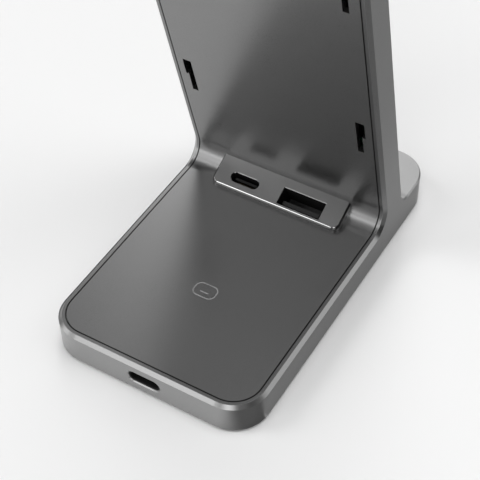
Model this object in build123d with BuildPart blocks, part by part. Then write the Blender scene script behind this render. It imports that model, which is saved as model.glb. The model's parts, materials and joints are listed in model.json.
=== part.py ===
from build123d import *
import os
from math import cos, radians, sin, tan

os.makedirs("parts", exist_ok=True)

# Desk charger: a flat base with a charging pad, and an upright that leans over the pad.
# +X is to the right seen from the pad end, +Y runs from the pad end to the foot, +Z is up.
# The origin is on the desk, under the middle of the base.

# Case
base_width = 60.0
base_length = 101.7
slab_height = 9.2
plan_radius = 9.6
wall = 1.8
foot_reach = 28.3  # from the line where plate and upright planes meet to the far end
upright_length = 125.0
upright_thickness = 9.0
lean = 14.0  # degrees from the vertical, towards the pad
bend_radius = 5.5
ledge_radius = 5.0
front_chamfer = 0.9
back_chamfer = 0.4
bottom_chamfer = 0.25

# Bent panel, flush in the case
rim_width = 1.85
seam_gap = 0.22
panel_thickness = 1.5
ledge_width = 1.0
ledge_height = 1.2
tab_length = 6.0
tab_thickness = 0.9
tab_catch = 0.4
tab_clearance = 0.15
tab_pitch = 45.0
tab_rows = 3
lowest_tab = 19.0  # up the upright from the plate
plate_tab = 28.0  # back along the plate from the upright

# Hook slots in the upright
slot_edge = 4.05  # from the case's side
slot_wide = 2.5
slot_narrow = 1.65
slot_length = 12.1
slot_step = 5.4  # length of the wide upper part
slot_height = 31.0  # up the upright to the lower pair
slot_pitch = 52.3
slot_rows = 2
slot_relief = 0.35

# Sloping block with the two outlets
block_reach = 9.6  # from its front to the line where plate and upright meet
block_width = 39.4
block_lip = 1.1
block_tilt = 24.5  # degrees from the horizontal
block_corner = 2.0
block_chamfer = 0.45
block_gap = 0.05
peg_size = 2.0
peg_edge = 2.2  # from the block's side to a peg's middle
peg_depth = 4.5
peg_clearance = 0.1
port_row = 3.52  # up the face from its lower edge
port_recess = 0.6
port_chamfer = 0.2
port_clearance = 0.05
port_floor_gap = 0.35
window_clearance = 0.3
usb_c_x = -10.5
usb_a_x = 7.2

# Receptacles, inside sizes
usb_c_width = 8.34
usb_c_height = 2.56
usb_a_width = 12.5
usb_a_height = 4.75
shell_wall = 0.3
insert_clearance = 0.04
insulator_depth = 1.6
usb_c_tongue_width = 6.7
usb_c_tongue_thickness = 0.7
usb_c_tongue_setback = 0.9
usb_a_tongue_width = 11.1
usb_a_tongue_thickness = 1.2
usb_a_tongue_edge = 0.55  # from the lower wall
usb_a_tongue_setback = 1.3
contact_thickness = 0.12
usb_c_contact_width = 0.28
usb_c_contact_pitch = 0.5
usb_c_contact_count = 12
usb_a_contact_width = 1.0
usb_a_contact_pitch = 2.3
usb_a_contact_count = 4
contact_setback = 1.4  # behind the tongue's tip

# Power inlet in the near wall
inlet_height = 4.4  # above the case's underside
inlet_length = 7.4
inlet_recess = 0.5
inlet_clearance = 0.12
inlet_chamfer = 0.3

# Rubber strips under the case
foot_length = 42.0
foot_width = 7.0
foot_thickness = 1.4
foot_proud = 0.6
foot_inset = 10.0  # from the case's ends to a strip's middle
foot_corner = 2.0
foot_clearance = 0.1

# Main board
board_thickness = 1.0
board_below_inlet = 0.4  # from the inlet's axis down to the board's face
main_board_edge = 4.5  # from the case's near wall and sides
main_board_reach = 4.1  # past the line where plate and upright meet
board_clearance = 0.5
board_screw_diameter = 1.4
board_screw_length = 2.8
board_head_diameter = 2.8
board_head_height = 0.8
screw_clearance = 0.1
board_screw_edge = 4.0  # from the board's side
board_screw_setback = 15.4  # before the line where plate and upright meet
post_wall = 1.3
rail_width = 1.6
rail_length = 12.0
rail_start = 14.0  # from the near wall
chip_size = 5.0
chip_height = 0.9
chip_pitch = 9.0
chip_count = 3
chip_setback = 22.4  # before the line where plate and upright meet
inductor_size = 5.2
inductor_height = 2.0
inductor_setback = 14.4
inductor_pitch = 9.0
inductor_count = 3
capacitor_length = 5.0
capacitor_width = 4.2
capacitor_height = 2.4
capacitor_gap = 0.6  # from the coil's shield
capacitor_pitch = 20.0
capacitor_count = 2

# Port board, standing behind the outlets
port_board_margin = 1.0

# Phone board in the upright
phone_board_edge = 7.0  # from the case's sides
phone_board_start = 11.0  # up the upright
phone_board_end = 28.0
phone_rail_height = 1.4
phone_rail_edge = 6.0  # from the board's side
clip_length = 6.0
clip_thickness = 1.0
clip_catch = 0.5
clip_clearance = 0.1

# Charging coils and their shields
coil_thickness = 1.1
ferrite_thickness = 0.8
ferrite_margin = 1.0
earbud_coil_y = 29.3  # from the near wall
earbud_coil_diameter = 30.0
earbud_coil_bore = 12.0
phone_coil_height = 72.0  # up the upright
phone_coil_diameter = 43.0
phone_coil_bore = 20.0
lead_size = 0.9
lead_pitch = 4.0
lead_count = 2
lead_overlap = 1.2

# Flat cable between the boards
ribbon_width = 6.0
ribbon_thickness = 0.3
ribbon_edge = 10.0  # from the case's side to the cable's middle
ribbon_bend = 4.0
socket_width = 7.2
socket_length = 3.0
socket_height = 1.6
main_socket_setback = 6.9  # before the line where plate and upright meet

# Steel weight in the foot
ballast_setback = 10.1  # behind the line where plate and upright meet
ballast_clearance = 0.3

# Places worked out from the sizes
lean_sin = sin(radians(lean))
lean_cos = cos(radians(lean))
tilt_sin = sin(radians(block_tilt))
tilt_cos = cos(radians(block_tilt))
near_y = -base_length / 2
far_y = base_length / 2
plate_z = foot_proud + slab_height
floor_z = foot_proud + wall
corner_y = far_y - foot_reach
block_y = corner_y - block_reach
panel_margin = rim_width + seam_gap
panel_back = plate_z - panel_thickness
ledge_depth = panel_thickness + ledge_height
back_wall = upright_thickness - wall
board_top = foot_proud + inlet_height - board_below_inlet
board_bottom = board_top - board_thickness

plate_plane = Plane(origin=(0, corner_y, plate_z), x_dir=(1, 0, 0), z_dir=(0, 0, 1))
upright_plane = Plane(
    origin=(0, corner_y, plate_z),
    x_dir=(1, 0, 0),
    z_dir=(0, -lean_cos, -lean_sin),
)
block_plane = Plane(
    origin=(0, block_y, plate_z + block_lip),
    x_dir=(1, 0, 0),
    z_dir=(0, -tilt_sin, tilt_cos),
)
near_plane = Plane(
    origin=(0, near_y, foot_proud + inlet_height),
    x_dir=(1, 0, 0),
    z_dir=(0, -1, 0),
)
port_mouth = block_plane.offset(-port_recess)
inlet_mouth = near_plane.offset(-inlet_recess)
slope_normal = Axis((0, 0, 0), (0, lean_cos, lean_sin))

feet_places = [(0, near_y + foot_inset), (0, far_y - foot_inset)]

main_board_width = base_width - 2 * main_board_edge
main_screw_x = main_board_width / 2 - board_screw_edge
main_screw_y = corner_y - board_screw_setback
main_screws = [(-main_screw_x, main_screw_y), (main_screw_x, main_screw_y)]
rail_y = near_y + rail_start + rail_length / 2
main_rails = [(-main_screw_x, rail_y), (main_screw_x, rail_y)]
phone_board_width = base_width - 2 * phone_board_edge
phone_board_length = phone_board_end - phone_board_start
phone_board_middle = (phone_board_start + phone_board_end) / 2
phone_rail_x = phone_board_width / 2 - phone_rail_edge
clip_inner = phone_board_width / 2 + clip_clearance
clip_outer = clip_inner + clip_thickness
clip_height = phone_rail_height + board_thickness + clip_clearance
slot_outer = base_width / 2 - slot_edge
earbud_coil_middle = near_y + earbud_coil_y
earbud_ferrite_size = earbud_coil_diameter + 2 * ferrite_margin

# Depth of the receptacles, from their mouths to just above the floor
usb_a_outer_height = usb_a_height + 2 * shell_wall
lowest_edge = port_row - usb_a_outer_height / 2
floor_drop = plate_z + block_lip + lowest_edge * tilt_sin - floor_z - port_floor_gap
port_length = floor_drop / tilt_cos - port_recess


def slope_point(depth, distance):
    """Side-view point behind the upright's front plane, a distance up from the plate."""
    y = corner_y + depth * lean_cos - distance * lean_sin
    z = plate_z + depth * lean_sin + distance * lean_cos
    return (y, z)


def bend_point(depth):
    """Side-view corner between plate and upright, at a depth below both."""
    return slope_point(depth, -depth * (1 + lean_sin) / lean_cos)


def block_point(rise, depth):
    """Side-view point up the block's face from its lower edge, and at a depth below the face."""
    y = block_y + rise * tilt_cos + depth * tilt_sin
    z = plate_z + block_lip + rise * tilt_sin - depth * tilt_cos
    return (y, z)


def nearest_vertex(sketch, point):
    return sketch.vertices().sort_by_distance(Vector(*point))[0]


def case_outline(front_inset, shell_inset):
    """Side view of the case, with its pad side and its other sides set in."""
    back = upright_thickness - shell_inset
    ledge = slope_point(back, -(shell_inset + back * lean_sin) / lean_cos)
    bend = bend_point(front_inset)
    top = upright_length - shell_inset
    with BuildSketch(Plane.YZ.offset(shell_inset - base_width / 2)) as outline:
        with BuildLine():
            Polyline(
                (near_y + shell_inset, plate_z - front_inset),
                (near_y + shell_inset, foot_proud + shell_inset),
                (far_y - shell_inset, foot_proud + shell_inset),
                (far_y - shell_inset, plate_z - shell_inset),
                ledge,
                slope_point(back, top),
                slope_point(front_inset, top),
                bend,
                close=True,
            )
        make_face()
        fillet(nearest_vertex(outline, bend), bend_radius + front_inset)
        fillet(nearest_vertex(outline, ledge), ledge_radius + shell_inset)
    return outline.sketch


def panel_outline(margin, depth_from, depth_to):
    """Side view of a bent layer between two depths below the pad side."""
    top = upright_length - margin
    with BuildSketch(Plane.YZ.offset(margin - base_width / 2)) as outline:
        with BuildLine():
            Polyline(
                (near_y + margin, plate_z - depth_from),
                bend_point(depth_from),
                slope_point(depth_from, top),
                slope_point(depth_to, top),
                bend_point(depth_to),
                (near_y + margin, plate_z - depth_to),
                close=True,
            )
        make_face()
        fillet(nearest_vertex(outline, bend_point(depth_from)), bend_radius + depth_from)
        fillet(nearest_vertex(outline, bend_point(depth_to)), bend_radius + depth_to)
    return outline.sketch


def rounded_body(outline, inset):
    """A side view drawn out across the width, with round corners in plan and at the top."""
    with BuildPart() as body:
        extrude(outline, amount=base_width - 2 * inset)
        fillet(body.edges().filter_by(Axis.Z), plan_radius - inset)
        fillet(body.edges().filter_by(slope_normal), plan_radius - inset)
    return body.part


def panel_layer(margin, depth_from, depth_to):
    return rounded_body(panel_outline(margin, depth_from, depth_to), margin)


def outer_edges(faces):
    """Edges around a run of joined faces, without those that the faces share."""
    edges = [edge for face in faces for edge in face.edges()]
    return [edge for edge in edges if sum(edge.is_same(other) for other in edges) == 1]


def run_of_faces(body, place):
    """Level, bent and leaning face of one side of the case: 0 is the pad side, -1 the phone side."""
    level = body.faces().filter_by(Axis.Z).group_by(Axis.Z)[-1].sort_by(Axis.Y)[place]
    leaning = body.faces().filter_by(upright_plane).sort_by(Axis.Y)[place]
    rounds = body.faces().filter_by(GeomType.CYLINDER)
    bent = rounds.filter_by(lambda face: abs(face.center().X) < 0.1).sort_by(Axis.Y)[place]
    return [level, bent, leaning]


def strip_plan(growth):
    """Plan of the two rubber strips, grown for the recesses that hold them."""
    with BuildSketch() as strips:
        with Locations(*feet_places):
            Rectangle(foot_length + 2 * growth, foot_width + 2 * growth)
        chamfer(strips.vertices(), foot_corner)
    return strips.sketch


# Housing
with BuildPart() as housing:
    add(rounded_body(case_outline(0, 0), 0))
    chamfer(outer_edges(run_of_faces(housing, 0)), front_chamfer)
    chamfer(outer_edges(run_of_faces(housing, -1)), back_chamfer)
    chamfer(housing.faces().sort_by(Axis.Z)[0].edges(), bottom_chamfer)
    add(rounded_body(case_outline(ledge_depth, wall), wall), mode=Mode.SUBTRACT)
    add(panel_layer(rim_width, 0, panel_thickness), mode=Mode.SUBTRACT)
    add(panel_layer(rim_width + ledge_width, panel_thickness, ledge_depth), mode=Mode.SUBTRACT)
    # Posts and rails under the main board
    with BuildSketch(Plane.XY.offset(floor_z)):
        with Locations(*main_screws):
            Circle(board_screw_diameter / 2 + post_wall)
        with Locations(*main_rails):
            Rectangle(rail_width, rail_length)
    extrude(amount=board_bottom - floor_z)
    # Rails under the phone board, and clips that hold it by its sides
    with BuildSketch(upright_plane.offset(-back_wall)):
        with Locations((-phone_rail_x, phone_board_middle), (phone_rail_x, phone_board_middle)):
            Rectangle(rail_width, phone_board_length)
    extrude(amount=phone_rail_height)
    with BuildSketch(upright_plane.offset(-back_wall)):
        clip_x = clip_outer - clip_thickness / 2
        with Locations((-clip_x, phone_board_middle), (clip_x, phone_board_middle)):
            Rectangle(clip_thickness, clip_length)
    extrude(amount=clip_height)
    with BuildSketch(upright_plane.offset(clip_height - back_wall)):
        catch_width = clip_thickness + clip_clearance + clip_catch
        catch_x = clip_outer - catch_width / 2
        with Locations((-catch_x, phone_board_middle), (catch_x, phone_board_middle)):
            Rectangle(catch_width, clip_length)
    extrude(amount=clip_thickness)
    # Recesses for the rubber strips, and the screw holes
    with BuildSketch(Plane.XY.offset(foot_proud)):
        add(strip_plan(foot_clearance))
    extrude(amount=foot_thickness - foot_proud, mode=Mode.SUBTRACT)
    with BuildSketch(Plane.XY.offset(board_bottom)):
        with Locations(*main_screws):
            Circle(board_screw_diameter / 2 + screw_clearance)
    extrude(amount=board_thickness - board_screw_length - screw_clearance, mode=Mode.SUBTRACT)
    # Inlet in the near wall
    inlet_opening_height = usb_c_height + 2 * (shell_wall + inlet_clearance)
    with BuildSketch(near_plane):
        SlotOverall(usb_c_width + 2 * (shell_wall + inlet_clearance), inlet_opening_height)
    extrude(amount=-wall, mode=Mode.SUBTRACT)
    near_wall = housing.faces().filter_by(Axis.Y).sort_by(Axis.Y)[0]
    chamfer(near_wall.inner_wires()[0].edges(), inlet_chamfer)
housing.part.label = "housing"
export_step(housing.part, "parts/housing.step")


def slot_outline(side):
    """Keyhole for a hook on one side of the upright, wide above and narrow below."""
    outer = side * slot_outer
    inner = side * (slot_outer - slot_wide)
    narrow = side * (slot_outer - slot_wide + slot_narrow)
    step = slot_length - slot_step
    with BuildSketch() as slot:
        with BuildLine():
            Polyline(
                (inner, 0),
                (narrow, 0),
                (narrow, step),
                (outer, step),
                (outer, slot_length),
                (inner, slot_length),
                close=True,
            )
        make_face()
        with Locations((outer - side * slot_relief, step)):
            Rectangle(2 * slot_relief, 2 * slot_relief)
    return slot.sketch


# Window under the block for the two outlets
window_left = usb_c_x - usb_c_width / 2 - shell_wall
window_right = usb_a_x + usb_a_width / 2 + shell_wall
window_middle = ((window_left + window_right) / 2, port_row)
window_width = window_right - window_left
peg_x = block_width / 2 - peg_edge
peg_places = [(-peg_x, port_row), (peg_x, port_row)]

# Panel
tab_places = [(plate_plane, -plate_tab)]
tab_places += [(upright_plane, lowest_tab + row * tab_pitch) for row in range(tab_rows)]
tab_outer = base_width / 2 - rim_width - ledge_width - tab_clearance
tab_hook_outer = tab_outer + tab_clearance + tab_catch
with BuildPart() as panel:
    add(panel_layer(panel_margin, 0, panel_thickness))
    for surface, distance in tab_places:
        with BuildSketch(surface.offset(-panel_thickness)):
            tab_x = tab_outer - tab_thickness / 2
            with Locations((-tab_x, distance), (tab_x, distance)):
                Rectangle(tab_thickness, tab_length)
        extrude(amount=-ledge_height - tab_clearance)
        with BuildSketch(surface.offset(-panel_thickness - ledge_height - tab_clearance)):
            hook_width = tab_hook_outer - tab_outer + tab_thickness
            hook_x = tab_hook_outer - hook_width / 2
            with Locations((-hook_x, distance), (hook_x, distance)):
                Rectangle(hook_width, tab_length)
        extrude(amount=-tab_thickness)
    # Hook slots
    for row in range(slot_rows):
        with BuildSketch(upright_plane):
            with Locations((0, slot_height + row * slot_pitch)):
                add(slot_outline(1))
                add(slot_outline(-1))
        extrude(amount=-panel_thickness, mode=Mode.SUBTRACT)
    # Window for the outlets and holes for the block's pegs
    with BuildSketch(block_plane):
        with Locations(window_middle):
            Rectangle(window_width + 2 * window_clearance, usb_a_outer_height + 2 * window_clearance)
        with Locations(*peg_places):
            Rectangle(peg_size + 2 * peg_clearance, peg_size + 2 * peg_clearance)
    extrude(amount=-port_length, mode=Mode.SUBTRACT)
panel.part.label = "panel"
export_step(panel.part, "parts/panel.step")

# Port block
usb_c_opening_width = usb_c_width + 2 * port_clearance
usb_c_opening_height = usb_c_height + 2 * port_clearance
usb_a_opening_width = usb_a_width + 2 * port_clearance
usb_a_opening_height = usb_a_height + 2 * port_clearance
pocket_growth = 2 * shell_wall
with BuildPart() as port_block:
    with BuildSketch(Plane.YZ.offset(-block_width / 2)):
        with BuildLine():
            Polyline(
                (block_y, plate_z),
                (block_y, plate_z + block_lip),
                block_point(block_reach, 0),
                (corner_y, plate_z),
                close=True,
            )
        make_face()
    extrude(amount=block_width)
    fillet(port_block.edges().filter_by(Axis.Z).group_by(Axis.Y)[0], block_corner)
    add(rounded_body(case_outline(-block_gap, 0), 0), mode=Mode.SUBTRACT)
    face_edges = port_block.faces().filter_by(block_plane).sort_by(Axis.Z)[-1].edges()
    chamfer(face_edges.sort_by(Axis.Z)[:-1], block_chamfer)
    # Openings in the face, with a shoulder in front of each receptacle
    with BuildSketch(block_plane):
        with Locations((usb_c_x, port_row)):
            SlotOverall(usb_c_opening_width, usb_c_opening_height)
        with Locations((usb_a_x, port_row)):
            Rectangle(usb_a_opening_width, usb_a_opening_height)
    extrude(amount=-port_recess, mode=Mode.SUBTRACT)
    face = port_block.faces().filter_by(block_plane).sort_by(Axis.Z)[-1]
    mouth_edges = [edge for wire in face.inner_wires() for edge in wire.edges()]
    chamfer(mouth_edges, port_chamfer)
    with BuildSketch(port_mouth):
        with Locations((usb_c_x, port_row)):
            SlotOverall(usb_c_opening_width + pocket_growth, usb_c_opening_height + pocket_growth)
        with Locations((usb_a_x, port_row)):
            Rectangle(usb_a_opening_width + pocket_growth, usb_a_opening_height + pocket_growth)
    extrude(amount=-port_length, mode=Mode.SUBTRACT)
    # Pegs that locate the block in the panel
    with BuildSketch(port_mouth):
        with Locations(*peg_places):
            Rectangle(peg_size, peg_size)
    extrude(amount=port_recess - peg_depth)
port_block.part.label = "port_block"
export_step(port_block.part, "parts/port_block.step")


def usb_c_shell(mouth, length):
    """Steel sleeve of a receptacle, from its mouth inwards."""
    with BuildPart() as shell:
        with BuildSketch(mouth):
            SlotOverall(usb_c_width + 2 * shell_wall, usb_c_height + 2 * shell_wall)
            SlotOverall(usb_c_width, usb_c_height, mode=Mode.SUBTRACT)
        extrude(amount=-length)
    return shell.part


def usb_c_tongue(mouth, length):
    """Moulded insert: a plug that closes the sleeve's back, with a thin tongue on it."""
    with BuildPart() as tongue:
        with BuildSketch(mouth.offset(insulator_depth - length)):
            SlotOverall(usb_c_width - 2 * insert_clearance, usb_c_height - 2 * insert_clearance)
        extrude(amount=-insulator_depth)
        with BuildSketch(mouth.offset(-usb_c_tongue_setback)):
            Rectangle(usb_c_tongue_width, usb_c_tongue_thickness)
        extrude(amount=usb_c_tongue_setback + insulator_depth - length)
    return tongue.part


def usb_c_contacts(mouth, length):
    """Two rows of contact strips, on both faces of the tongue."""
    start = usb_c_tongue_setback + contact_setback
    row_offset = (usb_c_tongue_thickness + contact_thickness) / 2
    with BuildPart() as contacts:
        with BuildSketch(mouth.offset(-start)):
            with GridLocations(usb_c_contact_pitch, 2 * row_offset, usb_c_contact_count, 2):
                Rectangle(usb_c_contact_width, contact_thickness)
        extrude(amount=start + insulator_depth - length)
    return contacts.part


# Power inlet
with BuildPart() as inlet_shell:
    add(usb_c_shell(inlet_mouth, inlet_length))
inlet_shell.part.label = "inlet_shell"
export_step(inlet_shell.part, "parts/inlet_shell.step")

with BuildPart() as inlet_tongue:
    add(usb_c_tongue(inlet_mouth, inlet_length))
inlet_tongue.part.label = "inlet_tongue"
export_step(inlet_tongue.part, "parts/inlet_tongue.step")

with BuildPart() as inlet_contacts:
    add(usb_c_contacts(inlet_mouth, inlet_length))
inlet_contacts.part.label = "inlet_contacts"
export_step(inlet_contacts.part, "parts/inlet_contacts.step")

# USB-C outlet
usb_c_mouth = Plane(port_mouth.from_local_coords((usb_c_x, port_row, 0)), port_mouth.x_dir, port_mouth.z_dir)
with BuildPart() as outlet_c_shell:
    add(usb_c_shell(usb_c_mouth, port_length))
outlet_c_shell.part.label = "usb_c_shell"
export_step(outlet_c_shell.part, "parts/usb_c_shell.step")

with BuildPart() as outlet_c_tongue:
    add(usb_c_tongue(usb_c_mouth, port_length))
outlet_c_tongue.part.label = "usb_c_tongue"
export_step(outlet_c_tongue.part, "parts/usb_c_tongue.step")

with BuildPart() as outlet_c_contacts:
    add(usb_c_contacts(usb_c_mouth, port_length))
outlet_c_contacts.part.label = "usb_c_contacts"
export_step(outlet_c_contacts.part, "parts/usb_c_contacts.step")

# USB-A outlet
usb_a_mouth = Plane(port_mouth.from_local_coords((usb_a_x, port_row, 0)), port_mouth.x_dir, port_mouth.z_dir)
with BuildPart() as usb_a_shell:
    with BuildSketch(usb_a_mouth):
        Rectangle(usb_a_width + 2 * shell_wall, usb_a_outer_height)
        Rectangle(usb_a_width, usb_a_height, mode=Mode.SUBTRACT)
    extrude(amount=-port_length)
usb_a_shell.part.label = "usb_a_shell"
export_step(usb_a_shell.part, "parts/usb_a_shell.step")

usb_a_tongue_middle = usb_a_tongue_edge + usb_a_tongue_thickness / 2 - usb_a_height / 2
with BuildPart() as usb_a_tongue:
    with BuildSketch(usb_a_mouth.offset(insulator_depth - port_length)):
        Rectangle(usb_a_width - 2 * insert_clearance, usb_a_height - 2 * insert_clearance)
    extrude(amount=-insulator_depth)
    with BuildSketch(usb_a_mouth.offset(-usb_a_tongue_setback)):
        with Locations((0, usb_a_tongue_middle)):
            Rectangle(usb_a_tongue_width, usb_a_tongue_thickness)
    extrude(amount=usb_a_tongue_setback + insulator_depth - port_length)
usb_a_tongue.part.label = "usb_a_tongue"
export_step(usb_a_tongue.part, "parts/usb_a_tongue.step")

usb_a_contact_row = usb_a_tongue_middle + (usb_a_tongue_thickness + contact_thickness) / 2
usb_a_contact_start = usb_a_tongue_setback + contact_setback
with BuildPart() as usb_a_contacts:
    with BuildSketch(usb_a_mouth.offset(-usb_a_contact_start)):
        with Locations((0, usb_a_contact_row)):
            with GridLocations(usb_a_contact_pitch, 0, usb_a_contact_count, 1):
                Rectangle(usb_a_contact_width, contact_thickness)
    extrude(amount=usb_a_contact_start + insulator_depth - port_length)
usb_a_contacts.part.label = "usb_a_contacts"
export_step(usb_a_contacts.part, "parts/usb_a_contacts.step")

# Main board, notched for the inlet and cut out for the outlets and screws
main_board_near = near_y + main_board_edge
main_board_far = corner_y + main_board_reach
inlet_notch_end = inlet_recess + inlet_length + board_clearance
inlet_notch_width = usb_c_width + 2 * (shell_wall + board_clearance)
with BuildPart() as main_board:
    with BuildSketch(Plane.XY.offset(board_bottom)) as board_plan:
        with Locations((0, (main_board_near + main_board_far) / 2)):
            Rectangle(main_board_width, main_board_far - main_board_near)
        near_corners = board_plan.vertices().group_by(Axis.Y)[0]
        fillet(near_corners, plan_radius - main_board_edge)
        with Locations((0, near_y + inlet_notch_end / 2)):
            Rectangle(inlet_notch_width, inlet_notch_end, mode=Mode.SUBTRACT)
        with Locations(*main_screws):
            Circle(board_screw_diameter / 2 + screw_clearance, mode=Mode.SUBTRACT)
    extrude(amount=board_thickness)
    with BuildSketch(block_plane):
        with Locations(window_middle):
            Rectangle(window_width + 2 * board_clearance, usb_a_outer_height + 2 * window_clearance)
    extrude(amount=-port_length - port_recess - board_thickness, mode=Mode.SUBTRACT)
main_board.part.label = "main_board"
export_step(main_board.part, "parts/main_board.step")

# Parts on the main board
with BuildPart() as main_chips:
    with BuildSketch(Plane.XY.offset(board_top)):
        with Locations((0, corner_y - chip_setback)):
            with GridLocations(chip_pitch, 0, chip_count, 1):
                Rectangle(chip_size, chip_size)
    extrude(amount=chip_height)
main_chips.part.label = "main_chips"
export_step(main_chips.part, "parts/main_chips.step")

with BuildPart() as power_inductors:
    with BuildSketch(Plane.XY.offset(board_top)):
        with Locations((0, corner_y - inductor_setback)):
            with GridLocations(inductor_pitch, 0, inductor_count, 1):
                Rectangle(inductor_size, inductor_size)
    extrude(amount=inductor_height)
power_inductors.part.label = "power_inductors"
export_step(power_inductors.part, "parts/power_inductors.step")

capacitor_y = earbud_coil_middle - earbud_ferrite_size / 2 - capacitor_gap - capacitor_length / 2
with BuildPart() as main_capacitors:
    with BuildSketch(Plane.XY.offset(board_top)):
        with Locations((0, capacitor_y)):
            with GridLocations(capacitor_pitch, 0, capacitor_count, 1):
                Rectangle(capacitor_width, capacitor_length)
    extrude(amount=capacitor_height)
main_capacitors.part.label = "main_capacitors"
export_step(main_capacitors.part, "parts/main_capacitors.step")

# Port board: its foot stands level on the main board
port_board_rise = port_row + usb_a_outer_height / 2
port_board_drop = plate_z + block_lip + port_board_rise * tilt_sin - board_top
port_board_front = port_board_drop / tilt_cos
port_board_back = port_board_front + board_thickness * tan(radians(block_tilt))
port_board_level = plate_z + block_lip + (port_board_rise + board_thickness) * tilt_sin
port_board_top = (port_board_level - panel_back + board_clearance) / tilt_cos
port_board_width = window_width + 2 * port_board_margin
with BuildPart() as port_board:
    with BuildSketch(Plane.YZ.offset(window_middle[0] - port_board_width / 2)):
        with BuildLine():
            Polyline(
                block_point(port_board_rise, port_board_front),
                block_point(port_board_rise, port_board_top),
                block_point(port_board_rise + board_thickness, port_board_top),
                block_point(port_board_rise + board_thickness, port_board_back),
                close=True,
            )
        make_face()
    extrude(amount=port_board_width)
port_board.part.label = "port_board"
export_step(port_board.part, "parts/port_board.step")

# Phone board on its rails behind the panel
phone_board_back = upright_plane.offset(phone_rail_height - back_wall)
phone_board_face = phone_board_back.offset(board_thickness)
with BuildPart() as phone_board:
    with BuildSketch(phone_board_back):
        with Locations((0, phone_board_middle)):
            Rectangle(phone_board_width, phone_board_length)
    extrude(amount=board_thickness)
phone_board.part.label = "phone_board"
export_step(phone_board.part, "parts/phone_board.step")

with BuildPart() as phone_chips:
    with BuildSketch(phone_board_face):
        with Locations((0, phone_board_middle), (chip_size - phone_board_width / 2, phone_board_middle)):
            Rectangle(chip_size, chip_size)
    extrude(amount=chip_height)
phone_chips.part.label = "phone_chips"
export_step(phone_chips.part, "parts/phone_chips.step")

# Earbud coil under the plate, with leads down to the main board
earbud_lead_y = earbud_coil_middle + earbud_ferrite_size / 2 + lead_size
earbud_lead_start = earbud_coil_middle + earbud_coil_diameter / 2 - lead_overlap
with BuildPart() as earbud_coil:
    with BuildSketch(Plane.XY.offset(panel_back)):
        with Locations((0, earbud_coil_middle)):
            Circle(earbud_coil_diameter / 2)
            Circle(earbud_coil_bore / 2, mode=Mode.SUBTRACT)
    extrude(amount=-coil_thickness)
    with BuildSketch(Plane.XY.offset(panel_back)):
        with Locations((0, (earbud_lead_start + earbud_lead_y) / 2)):
            with GridLocations(lead_pitch, 0, lead_count, 1):
                Rectangle(lead_size, earbud_lead_y - earbud_lead_start)
    extrude(amount=-lead_size)
    with BuildSketch(Plane.XY.offset(panel_back)):
        with Locations((0, earbud_lead_y)):
            with GridLocations(lead_pitch, 0, lead_count, 1):
                Rectangle(lead_size, lead_size)
    extrude(amount=board_top - panel_back)
earbud_coil.part.label = "earbud_coil"
export_step(earbud_coil.part, "parts/earbud_coil.step")

with BuildPart() as earbud_ferrite:
    with BuildSketch(Plane.XY.offset(panel_back - coil_thickness)):
        with Locations((0, earbud_coil_middle)):
            Rectangle(earbud_ferrite_size, earbud_ferrite_size)
    extrude(amount=-ferrite_thickness)
earbud_ferrite.part.label = "earbud_ferrite"
export_step(earbud_ferrite.part, "parts/earbud_ferrite.step")

# Phone coil on the upright's back wall, with leads down behind the phone board
phone_lead_start = phone_coil_height - phone_coil_diameter / 2 + lead_overlap
phone_lead_end = phone_board_end - lead_pitch
back_face = upright_plane.offset(-back_wall)
with BuildPart() as phone_coil:
    with BuildSketch(back_face):
        with Locations((0, phone_coil_height)):
            Circle(phone_coil_diameter / 2)
            Circle(phone_coil_bore / 2, mode=Mode.SUBTRACT)
    extrude(amount=coil_thickness)
    with BuildSketch(back_face):
        with Locations((0, (phone_lead_start + phone_lead_end) / 2)):
            with GridLocations(lead_pitch, 0, lead_count, 1):
                Rectangle(lead_size, phone_lead_start - phone_lead_end)
    extrude(amount=lead_size)
    with BuildSketch(back_face):
        with Locations((0, phone_lead_end + lead_size / 2)):
            with GridLocations(lead_pitch, 0, lead_count, 1):
                Rectangle(lead_size, lead_size)
    extrude(amount=phone_rail_height)
phone_coil.part.label = "phone_coil"
export_step(phone_coil.part, "parts/phone_coil.step")

phone_ferrite_size = phone_coil_diameter + 2 * ferrite_margin
with BuildPart() as phone_ferrite:
    with BuildSketch(back_face.offset(coil_thickness)):
        with Locations((0, phone_coil_height)):
            Rectangle(phone_ferrite_size, phone_ferrite_size)
    extrude(amount=ferrite_thickness)
phone_ferrite.part.label = "phone_ferrite"
export_step(phone_ferrite.part, "parts/phone_ferrite.step")

# Flat cable from the main board, round the bend and up to the phone board
ribbon_level = board_top + socket_height / 2
ribbon_depth = back_wall - phone_rail_height - board_thickness - socket_height / 2
ribbon_corner = slope_point(ribbon_depth, (ribbon_level - plate_z - ribbon_depth * lean_sin) / lean_cos)
ribbon_x = base_width / 2 - ribbon_edge
main_socket_y = corner_y - main_socket_setback
ribbon_start = main_socket_y + socket_length / 2
phone_socket_distance = phone_board_start + socket_length / 2
with BuildPart() as link_ribbon:
    with BuildSketch(Plane.YZ.offset(ribbon_x - ribbon_width / 2)):
        with BuildLine():
            FilletPolyline(
                (ribbon_start, ribbon_level),
                ribbon_corner,
                slope_point(ribbon_depth, phone_board_start),
                radius=ribbon_bend,
            )
        trace(line_width=ribbon_thickness)
    extrude(amount=ribbon_width)
link_ribbon.part.label = "link_ribbon"
export_step(link_ribbon.part, "parts/link_ribbon.step")

with BuildPart() as ribbon_sockets:
    with BuildSketch(Plane.XY.offset(board_top)):
        with Locations((ribbon_x, main_socket_y)):
            Rectangle(socket_width, socket_length)
    extrude(amount=socket_height)
    with BuildSketch(phone_board_face):
        with Locations((ribbon_x, phone_socket_distance)):
            Rectangle(socket_width, socket_length)
    extrude(amount=socket_height)
ribbon_sockets.part.label = "ribbon_sockets"
export_step(ribbon_sockets.part, "parts/ribbon_sockets.step")

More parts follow.
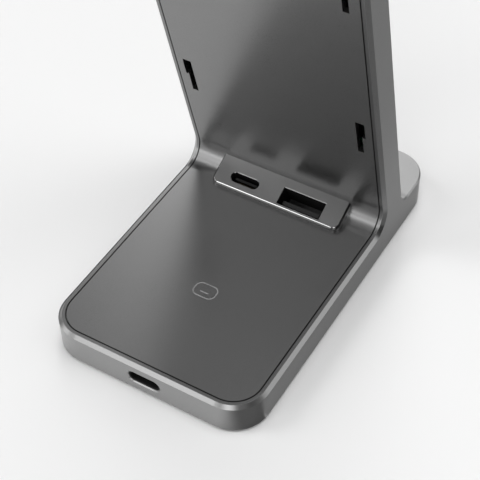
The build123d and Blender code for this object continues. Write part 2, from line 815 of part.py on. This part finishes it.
# Steel weight on the floor of the foot
ballast_near = corner_y + ballast_setback
ballast_far = far_y - wall - ballast_clearance
ballast_width = base_width - 2 * (wall + ballast_clearance)
with BuildPart() as ballast:
    with BuildSketch(Plane.XY.offset(floor_z)) as ballast_plan:
        with Locations((0, (ballast_near + ballast_far) / 2)):
            Rectangle(ballast_width, ballast_far - ballast_near)
        far_corners = ballast_plan.vertices().group_by(Axis.Y)[-1]
        fillet(far_corners, plan_radius - wall - ballast_clearance)
    extrude(amount=plate_z - wall - ballast_clearance - floor_z)
ballast.part.label = "ballast"
export_step(ballast.part, "parts/ballast.step")

# Screws of the main board
with BuildPart() as board_screws:
    with BuildSketch(Plane.XY.offset(board_top)):
        with Locations(*main_screws):
            Circle(board_head_diameter / 2)
    extrude(amount=board_head_height)
    with BuildSketch(Plane.XY.offset(board_top)):
        with Locations(*main_screws):
            Circle(board_screw_diameter / 2)
    extrude(amount=-board_screw_length)
board_screws.part.label = "board_screws"
export_step(board_screws.part, "parts/board_screws.step")

# Rubber strips
with BuildPart() as rubber_feet:
    with BuildSketch(Plane.XY):
        add(strip_plan(0))
    extrude(amount=foot_thickness)
rubber_feet.part.label = "rubber_feet"
export_step(rubber_feet.part, "parts/rubber_feet.step")
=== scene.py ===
import json
from math import cos, pi, radians, sin

import bpy
from mathutils import Matrix, Vector


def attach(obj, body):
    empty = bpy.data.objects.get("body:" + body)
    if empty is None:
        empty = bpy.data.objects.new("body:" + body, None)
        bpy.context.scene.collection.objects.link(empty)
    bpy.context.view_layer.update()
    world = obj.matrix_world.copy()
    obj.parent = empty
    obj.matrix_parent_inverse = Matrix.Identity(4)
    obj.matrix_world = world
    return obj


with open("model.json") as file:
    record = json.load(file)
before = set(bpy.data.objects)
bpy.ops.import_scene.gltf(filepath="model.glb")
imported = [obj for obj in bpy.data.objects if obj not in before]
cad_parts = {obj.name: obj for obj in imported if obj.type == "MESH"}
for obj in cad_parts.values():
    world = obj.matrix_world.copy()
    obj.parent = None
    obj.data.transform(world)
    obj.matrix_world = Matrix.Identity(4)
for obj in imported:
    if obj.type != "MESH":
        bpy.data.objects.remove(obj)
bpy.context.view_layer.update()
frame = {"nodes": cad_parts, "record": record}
nodes = frame["nodes"]
scene = bpy.context.scene
MM = 0.001
ACROSS = (1.0, 0.0, 0.0)
AWAY = (0.0, 1.0, 0.0)

# Places on the part, in millimetres
HALF_WIDTH = 30.0  # of the base and the upright
NEAR_Y = -50.85  # the base's near wall
PLATE_Z = 9.8  # top of the pad
MARK_Y = NEAR_Y + 29.3  # middle of the charging place on the pad
BEND = Vector((0.0, 22.55, PLATE_Z))  # where the pad meets the upright's front
LEAN = radians(14.0)  # of the upright, over the pad
UPRIGHT_UP = Vector((0.0, -sin(LEAN), cos(LEAN)))
UPRIGHT_OUT = Vector((0.0, -cos(LEAN), -sin(LEAN)))
UPRIGHT_LENGTH = 125.0
PHONE_COIL = BEND + UPRIGHT_UP * 72.0
CORNER = 9.6  # radius of the case's corners
CORNER_X = HALF_WIDTH - CORNER
CORNER_Y = NEAR_Y + CORNER
CORNER_RISE = UPRIGHT_LENGTH - CORNER
SEAM_RADIUS = 7.64  # of the seam, round the same corners
BLOCK_EDGE = Vector((0.0, 12.95, 10.9))  # near edge of the port block's sloping face
BLOCK_TILT = radians(24.5)
PORT_ROW = 3.52  # from that edge to the middle of the openings
USB_A = (7.2, 12.6, 4.85)  # middle, width and height of the opening
USB_C = (-10.5, 8.44, 2.66)

# Lacquer and its painted shade, lengths in millimetres; a pair says where one finish or shade starts to turn
# into the next, and where it ends
FLAKE_SHARE = 0.97  # metal flakes, by area
FLAKE_SIZE = 0.10
FLAKE_DEPTH = 0.001
CLOUD_SIZE = 14.0
PAINTED_SEAM_FADE = (0.10, 0.32)  # painted shade of the seam's gap, to both sides of the seam
# painted shade in the seam's gap, as a share of the colour
PAINTED_SEAM_SHADE = 0.3
RIM_FADE = (0.9, 1.0)  # outwards from the seam
FRONT_FADE = (-0.6, -0.4)  # out of the upright's front; seam and rim don't show behind it
OPENING_FADE = (0.25, 0.35)  # round an opening of the port block
CUT_STARTS = (0.02, 0.04)  # below the port block's face
CUT_ENDS = (0.13, 0.16)
# painted shade: inside the openings the colour turns nearly black, and the block's walls below the cut are
# darkened
HOLLOW_SHADE_STARTS = (0.19, 0.22)
WALL_SHADE_ENDS = (0.50, 0.80)
WALL_PAINTED_SHADE = 0.35
CUT_ROUGHNESS = 0.16

# Parts inside, lengths in millimetres
COPPER = (0.70, 0.32, 0.17, 1.0)
WIRE_PITCH = 0.62
TRACK_PITCH = 1.5
TRACK_EDGE = (0.93, 0.97)  # of a ridge's height
PAD_SPACING = 2.5
CONDUCTOR_PITCH = 0.8


class Sock:
    """An output of a shader node. Arithmetic on it adds Math nodes to its tree."""

    def __init__(self, tree, output):
        self.tree = tree
        self.output = output

    def node(self, kind, settings=None, inputs=None, out=0):
        """Adds a node, sets it up, fills its inputs by name or number, and returns one output."""
        made = self.tree.nodes.new(kind)
        for key, value in (settings or {}).items():
            setattr(made, key, value)
        for key, value in (inputs or {}).items():
            if isinstance(value, Sock):
                self.tree.links.new(value.output, made.inputs[key])
            else:
                made.inputs[key].default_value = value
        return Sock(self.tree, made.outputs[out])

    def math(self, operation, *values):
        return self.node("ShaderNodeMath", {"operation": operation}, dict(enumerate(values)))

    def __add__(self, other):
        return self.math("ADD", self, other)

    def __radd__(self, other):
        return self.math("ADD", other, self)

    def __sub__(self, other):
        return self.math("SUBTRACT", self, other)

    def __rsub__(self, other):
        return self.math("SUBTRACT", other, self)

    def __mul__(self, other):
        return self.math("MULTIPLY", self, other)

    def __rmul__(self, other):
        return self.math("MULTIPLY", other, self)

    def __truediv__(self, other):
        return self.math("DIVIDE", self, other)

    def __rtruediv__(self, other):
        return self.math("DIVIDE", other, self)

    def __abs__(self):
        return self.math("ABSOLUTE", self)

    def root(self):
        return self.math("SQRT", self)

    def step(self, low, high, start=0.0, end=1.0):
        """A smooth step from start to end as this value goes from low to high."""
        return self.node(
            "ShaderNodeMapRange",
            {"interpolation_type": "SMOOTHSTEP"},
            {"Value": self, "From Min": low, "From Max": high, "To Min": start, "To Max": end},
        )

    def fall(self, low, high):
        """A smooth step down from 1 to 0 as this value goes from low to high."""
        return self.step(low, high, 1.0, 0.0)

    def blend(self, first, second):
        """A colour from first to second as this value goes from 0 to 1."""
        inputs = {"Factor": self, "A": first, "B": second}
        return self.node("ShaderNodeMix", {"data_type": "RGBA"}, inputs, out="Result")

    def dot(self, direction):
        """How far this place lies along a direction."""
        inputs = {0: self, 1: direction}
        return self.node("ShaderNodeVectorMath", {"operation": "DOT_PRODUCT"}, inputs, out="Value")

    def vector(self, operation, other):
        return self.node("ShaderNodeVectorMath", {"operation": operation}, {0: self, 1: other})

    def ridges(self, pitch):
        """Round ridges side by side along this distance, 0 between them and 1 at their tops."""
        side = self.math("FRACT", self / pitch) * 2.0 - 1.0
        return 1.0 - side * side

    def noise(self, size, detail=3.0):
        """Noise from 0 to 1 with grains of a size in millimetres, on this place."""
        inputs = {"Vector": self, "Scale": 1 / size, "Detail": detail, "Roughness": 0.5}
        return self.node("ShaderNodeTexNoise", None, inputs)


def rgb(grey, warmth=0.0):
    """A nearly neutral linear colour."""
    return (grey * (1 + warmth), grey, grey * (1 - warmth), 1.0)


def shade(colour, factor):
    """The same colour, darker or lighter."""
    return tuple(c * factor for c in colour[:3]) + (1.0,)


def material(name):
    """A new material, its shader, and the place on the part in millimetres."""
    made = bpy.data.materials.new(name)
    made.use_nodes = True
    tree = made.node_tree
    shader = tree.nodes["Principled BSDF"]
    place = Sock(tree, tree.nodes.new("ShaderNodeTexCoord").outputs["Object"])
    return made, shader, place.vector("MULTIPLY", (1 / MM, 1 / MM, 1 / MM))


def link(shader, **inputs):
    """Links values to the shader's inputs; a name's _ stands for a space."""
    for key, value in inputs.items():
        shader.id_data.links.new(value.output, shader.inputs[key.replace("_", " ")])


def bump(height, depth):
    """A normal for a height from 0 to 1 that stands for a depth in millimetres."""
    return height.node("ShaderNodeBump", None, {"Distance": depth * MM, "Height": height})


def past_seam(place):
    """Distance outwards from the middle of the seam round the bent panel."""
    sides = abs(place.dot(ACROSS)) - CORNER_X
    near = CORNER_Y - place.dot(AWAY)
    top = place.vector("SUBTRACT", BEND).dot(UPRIGHT_UP) - CORNER_RISE
    beyond = [past.math("MAXIMUM", past, 0.0) for past in (sides, near, top)]
    return sum(past * past for past in beyond).root() - SEAM_RADIUS


def lacquer_tones(place, colour, roughness, rim=1.0):
    """Colour, roughness and relief of a satin lacquer with fine metal flakes.

    Painted shade makes the seam dark, and the rim beside it takes a darker tone of the colour.
    """
    flakes = place.noise(FLAKE_SIZE, 1.0)
    clouds = place.noise(CLOUD_SIZE, 2.0)
    tone = (flakes * 0.9 + clouds * 0.1).step(0.3, 0.7)
    paint = tone.blend(shade(colour, 0.96), shade(colour, 1.04))
    past = past_seam(place)
    front = place.vector("SUBTRACT", BEND).dot(UPRIGHT_OUT).step(*FRONT_FADE)
    if rim < 1.0:
        on_rim = past.fall(*RIM_FADE) * front
        paint = on_rim.blend(paint, paint.vector("MULTIPLY", (rim, rim, rim)))
    # painted shade: the colour darkens along the seam, as if its gap were in shade
    seam_painted_shade = abs(past).fall(*PAINTED_SEAM_FADE) * front
    paint = seam_painted_shade.blend(paint, shade(colour, PAINTED_SEAM_SHADE))
    gloss = roughness + (clouds - 0.5) * 0.006 + (flakes - 0.5) * 0.03
    return paint, gloss, bump(flakes, FLAKE_DEPTH)


def lacquer(name, colour, roughness, rim=1.0):
    """Lacquer of the case and the bent panel."""
    made, shader, place = material(name)
    paint, gloss, relief = lacquer_tones(place, colour, roughness, rim)
    link(shader, Base_Color=paint, Roughness=gloss, Normal=relief)
    shader.inputs["Metallic"].default_value = FLAKE_SHARE
    return made


def block_lacquer(name, colour, roughness):
    """Lacquer of the port block, cut bright along its edges, with painted shade on its walls below the cut and
    a painted near-black shade inside its openings.
    """
    made, shader, place = material(name)
    paint, gloss, relief = lacquer_tones(place, colour, roughness)
    local = place.vector("SUBTRACT", BLOCK_EDGE)
    across = place.dot(ACROSS)
    rise = local.dot((0.0, cos(BLOCK_TILT), sin(BLOCK_TILT))) - PORT_ROW
    depth = local.dot((0.0, sin(BLOCK_TILT), -cos(BLOCK_TILT)))

    def within(distance, size):
        return abs(distance).fall(*(size / 2 + margin for margin in OPENING_FADE))

    openings = (USB_A, USB_C)
    inside = sum(within(across - x, width) * within(rise, height) for x, width, height in openings)
    # painted shade, nearly black, deep inside the openings
    hollow_painted_shade = inside * depth.step(*HOLLOW_SHADE_STARTS)
    cut = depth.step(*CUT_STARTS) * depth.fall(*CUT_ENDS) * (1.0 - hollow_painted_shade)
    # painted shade on the block's walls just below the cut edge
    wall_painted_shade = depth.step(*CUT_ENDS) * depth.fall(*WALL_SHADE_ENDS)
    paint = wall_painted_shade.blend(paint, shade(colour, WALL_PAINTED_SHADE))
    link(
        shader,
        Base_Color=hollow_painted_shade.blend(cut.blend(paint, rgb(0.50)), rgb(0.006)),
        Roughness=gloss - cut * (roughness - CUT_ROUGHNESS),
        Metallic=FLAKE_SHARE + cut * (1.0 - FLAKE_SHARE),
        Normal=relief,
    )
    return made


def moulded(name, colour, roughness, metallic=0.0, grain=0.12, depth=0.004, gloss=0.5):
    """Moulded, pressed, plated or printed surface with a fine grain."""
    made, shader, place = material(name)
    grains = place.noise(grain)
    patches = place.noise(3.0, 2.0)
    tone = ((grains + patches) * 0.5).step(0.3, 0.7)
    link(
        shader,
        Base_Color=tone.blend(shade(colour, 0.8), shade(colour, 1.2)),
        Roughness=roughness + (patches - 0.5) * 0.1,
        Normal=bump(grains, depth),
    )
    shader.inputs["Metallic"].default_value = metallic
    shader.inputs["Specular IOR Level"].default_value = gloss
    return made


def brushed(name, colour, roughness):
    """Rolled steel with fine lines across the part."""
    made, shader, place = material(name)
    lines = place.vector("MULTIPLY", (0.04, 1.0, 1.0)).noise(0.12, 2.0)
    stains = place.noise(5.0)
    tone = (lines * 0.7 + stains * 0.3).step(0.3, 0.7)
    link(
        shader,
        Base_Color=tone.blend(shade(colour, 0.75), shade(colour, 1.2)),
        Roughness=roughness + (lines - 0.5) * 0.2,
        Normal=bump(lines, 0.004),
    )
    shader.inputs["Metallic"].default_value = 1.0
    return made


def wound_coil(name, colour, middle, along):
    """Enamelled wire wound flat round a middle, in the plane of X and another direction."""
    made, shader, place = material(name)
    local = place.vector("SUBTRACT", middle)
    across, rise = local.dot(ACROSS), local.dot(along)
    turns = (across * across + rise * rise).root().ridges(WIRE_PITCH)
    strands = place.noise(0.18, 2.0)
    tone = (turns * 0.8 + strands * 0.2).step(0.1, 0.8)
    link(
        shader,
        Base_Color=tone.blend(shade(colour, 0.3), shade(colour, 1.1)),
        Roughness=0.5 - turns * 0.2,
        Normal=bump(turns, 0.2),
    )
    shader.inputs["Metallic"].default_value = 1.0
    return made


def circuit_board(name, mask, tin):
    """Solder mask over copper tracks, with tinned pads."""
    made, shader, place = material(name)
    turned = place.noise(7.0, 1.0).step(0.49, 0.51)
    lanes = place.dot(ACROSS).ridges(TRACK_PITCH).step(*TRACK_EDGE)
    rows = place.dot((0.0, 0.8, 0.6)).ridges(TRACK_PITCH).step(*TRACK_EDGE)
    tracks = lanes * turned + rows * (1.0 - turned)
    spots = {"Vector": place, "Scale": 1 / PAD_SPACING}
    pads = place.node("ShaderNodeTexVoronoi", None, spots).fall(0.10, 0.13)
    coat = tracks.blend(mask, shade(mask, 1.9))
    link(
        shader,
        Base_Color=pads.blend(coat, tin),
        Roughness=0.42 - pads * 0.1 + (place.noise(0.3) - 0.5) * 0.1,
        Metallic=pads,
        Normal=bump(tracks + pads, 0.03),
    )
    return made


def flat_ribbon(name, film, conductor):
    """Film over flat conductors that run side by side."""
    made, shader, place = material(name)
    strips = place.dot(ACROSS).ridges(CONDUCTOR_PITCH)
    weave = place.noise(0.2)
    link(
        shader,
        Base_Color=strips.step(0.25, 0.55).blend(film, conductor),
        Roughness=0.3 + weave * 0.15,
        Normal=bump(strips, 0.05),
    )
    return made


materials = {
    "case_grey": lacquer("case_grey", rgb(0.34), 0.28, rim=0.72),
    "panel_grey": lacquer("panel_grey", rgb(0.248), 0.28),
    "block_grey": block_lacquer("block_grey", rgb(0.27), 0.30),
    "dark_nickel": moulded("dark_nickel", rgb(0.012), 0.55, gloss=0.15),
    "insulator_black": moulded("insulator_black", rgb(0.010), 0.6, gloss=0.2),
    "insulator_grey": moulded("insulator_grey", rgb(0.022), 0.5, gloss=0.3),
    # painted shade: the contacts' gold is darkened as if in the shade deep inside the ports
    "contact_gold": moulded("contact_gold", (0.12, 0.09, 0.05, 1.0), 0.4, metallic=1.0),
    "foot_rubber": moulded("foot_rubber", rgb(0.02), 0.8),
    "board_green": circuit_board("board_green", (0.02, 0.10, 0.05, 1.0), rgb(0.55, 0.05)),
    "chip_black": moulded("chip_black", rgb(0.015), 0.5),
    "inductor_grey": moulded("inductor_grey", rgb(0.10), 0.6),
    "capacitor_ochre": moulded("capacitor_ochre", (0.45, 0.26, 0.06, 1.0), 0.5),
    "coil_copper": wound_coil("coil_copper", COPPER, (0.0, MARK_Y, 0.0), AWAY),
    "ferrite_grey": moulded("ferrite_grey", rgb(0.06), 0.7),
    "ribbon_film": flat_ribbon("ribbon_film", (0.50, 0.30, 0.08, 1.0), (0.62, 0.36, 0.16, 1.0)),
    "socket_white": moulded("socket_white", rgb(0.65, 0.03), 0.5),
    "weight_steel": brushed("weight_steel", rgb(0.40), 0.42),
    "screw_steel": brushed("screw_steel", rgb(0.50), 0.35),
}
own_finish = {"phone_coil": wound_coil("coil_copper_phone", COPPER, PHONE_COIL, UPRIGHT_UP)}
for subpart in frame["record"]["subparts"]:
    finish = own_finish.get(subpart["node"], materials[subpart["material_slot"]])
    piece = nodes[subpart["node"]]
    piece.data.materials.clear()
    piece.data.materials.append(finish)


def add_mesh(name, points, faces, paint):
    """A new object from points in millimetres."""
    mesh = bpy.data.meshes.new(name)
    mesh.from_pydata([Vector(point) * MM for point in points], [], faces)
    mesh.materials.append(paint)
    made = bpy.data.objects.new(name, mesh)
    scene.collection.objects.link(made)
    return made


def at_height(outline, z):
    return [(x, y, z) for x, y in outline]


# Placement mark printed on the pad, in millimetres
INK = 0.012  # thickness of the print
MARK_LINE = 0.34
DASH_Y = MARK_Y - 0.6


def rounded_outline(middle_y, width, height, radius):
    """Points round a rectangle with round corners."""
    steps = 10
    points = []
    for corner, (sx, sy) in enumerate(((1, 1), (-1, 1), (-1, -1), (1, -1))):
        for k in range(steps + 1):
            angle = (corner + k / steps) * pi / 2
            x = sx * (width / 2 - radius) + radius * cos(angle)
            y = sy * (height / 2 - radius) + radius * sin(angle)
            points.append((x, middle_y + y))
    return points


def printed_ring(name, width, height, radius, paint):
    """A printed outline on the pad, with the thickness of ink."""
    outer = rounded_outline(MARK_Y, width, height, radius)
    inner = rounded_outline(MARK_Y, width - 2 * MARK_LINE, height - 2 * MARK_LINE, radius - MARK_LINE)
    points = []
    for z in (PLATE_Z, PLATE_Z + INK):
        points += at_height(outer, z) + at_height(inner, z)
    count = len(outer)
    low_out, low_in, top_out, top_in = 0, count, 2 * count, 3 * count
    faces = []
    for k in range(count):
        n = (k + 1) % count
        faces.append((top_out + k, top_out + n, top_in + n, top_in + k))
        faces.append((low_out + n, low_out + k, low_in + k, low_in + n))
        faces.append((low_out + k, low_out + n, top_out + n, top_out + k))
        faces.append((low_in + n, low_in + k, top_in + k, top_in + n))
    return add_mesh(name, points, faces, paint)


def printed_dash(name, width, paint):
    """A printed dash on the pad. Its ends are just not half circles, so that no two points meet."""
    outline = rounded_outline(DASH_Y, width, MARK_LINE, MARK_LINE / 2 - 0.01)
    points = at_height(outline, PLATE_Z) + at_height(outline, PLATE_Z + INK)
    count = len(outline)
    faces = [tuple(range(count, 2 * count)), tuple(range(count))[::-1]]
    for k in range(count):
        n = (k + 1) % count
        faces.append((k, n, count + n, count + k))
    return add_mesh(name, points, faces, paint)


mark_ink = moulded("mark_ink", rgb(0.27), 0.5, grain=0.05, depth=0.001)
for mark in (
    printed_ring("mark_ring", 6.6, 4.7, 1.9, mark_ink),
    printed_dash("mark_dash", 2.6, mark_ink),
):
    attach(mark, "root")


# Studio: a pale floor, and cards that only reflections show
FLOOR_REACH = 3000.0
PALE = 0.8  # about the floor's grey, as a card fades into it
CARD_Z = 0.3
CORNER_CARD_Z = 0.5
CARD_GAP = 1.0  # between the left wall and its card
LEFT_CARD_LOW, LEFT_CARD_HIGH = 7.4, 8.9


def studio_paint(name, patches, darkest, lightest, fade=None):
    """Matt paint in patches of a size in millimetres, from one grey to another.

    Fade gives two places: from the first to the second, a pale grey turns into this paint.
    """
    made, shader, place = material(name)
    colour = place.noise(patches, 2.0).blend(rgb(darkest), rgb(lightest))
    if fade:
        start, end = Vector(fade[0]), Vector(fade[1])
        run = end - start
        faded = place.vector("SUBTRACT", start).dot(run.normalized()).step(0.0, run.length)
        colour = faded.blend(rgb(PALE), colour)
    link(shader, Base_Color=colour)
    shader.inputs["Roughness"].default_value = 1.0
    shader.inputs["Specular IOR Level"].default_value = 0.0
    return made


def dark_card(name, points, faces, grey, fade=None):
    """A dark card beside the part that only reflections show, so that its edges have contrast; by the right
    wall such cards stand in for the floor's shade, as a painted shadow.
    """
    paint = studio_paint(name, 200.0, grey * 0.95, grey * 1.05, fade)
    card = add_mesh(name, points, faces, paint)
    card.visible_camera = False
    card.visible_diffuse = False
    card.visible_shadow = False


floor_outline = [(sx * FLOOR_REACH, sy * FLOOR_REACH) for sx, sy in ((-1, -1), (1, -1), (1, 1), (-1, 1))]
floor_paint = studio_paint("floor_paint", 400.0, 0.825, 0.845)
add_mesh("floor", at_height(floor_outline, 0.0), [range(4)], floor_paint)

# painted shadow: these dark cards by the right wall stand in for the floor's shade beside the part, seen only
# in reflections
by_the_wall = ((30.05, -41), (48, -52), (48, 500), (30.05, 500))
dark_card("card_beside", at_height(by_the_wall, CARD_Z), [range(4)], 0.47)
right_side = ((48, -52), (400, -250), (400, 500), (48, 500))
dark_card("card_right", at_height(right_side, CARD_Z), [range(4)], 0.33)
near_corner = (
    (20.4, -50.9), (28, -140), (300, -150), (110, 18), (41, 18),
    (36, -40), (30.1, -42.5), (29.3, -45.4), (27.3, -48.3), (24, -50.2),
)
corner_fade = ((19.5, -51.5, 0.0), (28.5, -48.5, 0.0))
dark_card("card_corner", at_height(near_corner, CORNER_CARD_Z), [range(len(near_corner))], 0.2, corner_fade)

left_line = [(-HALF_WIDTH - CARD_GAP, 18.0)]
for degrees in range(180, 225, 8):
    angle, radius = radians(degrees), CORNER + CARD_GAP
    left_line.append((radius * cos(angle) - CORNER_X, radius * sin(angle) + CORNER_Y))
left_points = at_height(left_line, LEFT_CARD_LOW) + at_height(left_line, LEFT_CARD_HIGH)
count = len(left_line)
left_faces = [(k, k + 1, count + k + 1, count + k) for k in range(count - 1)]
dark_card("card_left", left_points, left_faces, 0.03)


# Light from a studio tent: azimuth, elevation, inner and outer angle, and strength of each soft box
SOFTBOXES = (
    (-150, 45, 4, 16, 5.1),
    (-77, 42, 3, 19, 2.8),
    (0, 88, 5, 22, 4.6),
    (104, 60, 2, 15, 3.5),
    (-115, 13, 2, 13, 2.5),
    (121, 30, 2, 15, 2.3),
    (-115, 33, 2, 13, 1.9),
    (90, 8, 5, 28, 1.7),
    (-150, 20, 4, 22, 1.7),
    (-70, 14, 4, 16, 1.7),
    (20, 52, 5, 26, 1.6),
    (40, 20, 5, 26, 1.1),
    (-115, 43, 2, 13, 1.1),
    (121, 40, 2, 15, 1.0),
    (-115, 3, 2, 13, 0.8),
    (-115, 23, 2, 13, 0.5),
    (-33, 42, 4, 14, 0.4),
    (-72, 62, 5, 16, 0.4),
)
world = bpy.data.worlds.new("studio")
scene.world = world
world.use_nodes = True
tree = world.node_tree
ray = Sock(tree, tree.nodes.new("ShaderNodeTexCoord").outputs["Generated"])


def direction(azimuth, elevation):
    """Unit direction: azimuth from +X towards +Y, and elevation above the floor, in degrees."""
    a, e = radians(azimuth), radians(elevation)
    return (cos(a) * cos(e), sin(a) * cos(e), sin(e))


def softbox(azimuth, elevation, inner, outer, strength):
    """Light of a strength within an inner angle of a direction, fading to none at an outer angle."""
    nearness = ray.dot(direction(azimuth, elevation))
    return nearness.step(cos(radians(outer)), cos(radians(inner)), 0.0, strength)


light = sum(softbox(*box) for box in SOFTBOXES)
background = tree.nodes["Background"]
tree.links.new(light.output, background.inputs["Strength"])
background.inputs["Color"].default_value = (1.0, 1.0, 1.0, 1.0)

# Camera at the photograph's angle
PHOTO_WIDTH = 480
FOCAL_LENGTH = 1281.741  # in pixels of the photograph
SENSOR_WIDTH = 36.0
CAMERA_PLACE = Vector((121.908, -200.158, 257.689))
CAMERA_RIGHT = Vector((0.859237, 0.511244, -0.018454))
CAMERA_UP = Vector((-0.361310, 0.631995, 0.685592))
CAMERA_BACK = Vector((0.362167, -0.582419, 0.727752))
camera_data = bpy.data.cameras.new("camera")
camera_data.sensor_width = SENSOR_WIDTH
camera_data.lens = FOCAL_LENGTH / PHOTO_WIDTH * SENSOR_WIDTH
camera_data.clip_start = 0.01
camera_data.clip_end = 20.0
camera = bpy.data.objects.new("camera", camera_data)
scene.collection.objects.link(camera)
turn = Matrix((CAMERA_RIGHT, CAMERA_UP, CAMERA_BACK)).transposed().to_4x4()
camera.matrix_world = Matrix.Translation(CAMERA_PLACE * MM) @ turn
scene.camera = camera

scene.view_settings.view_transform = "Standard"
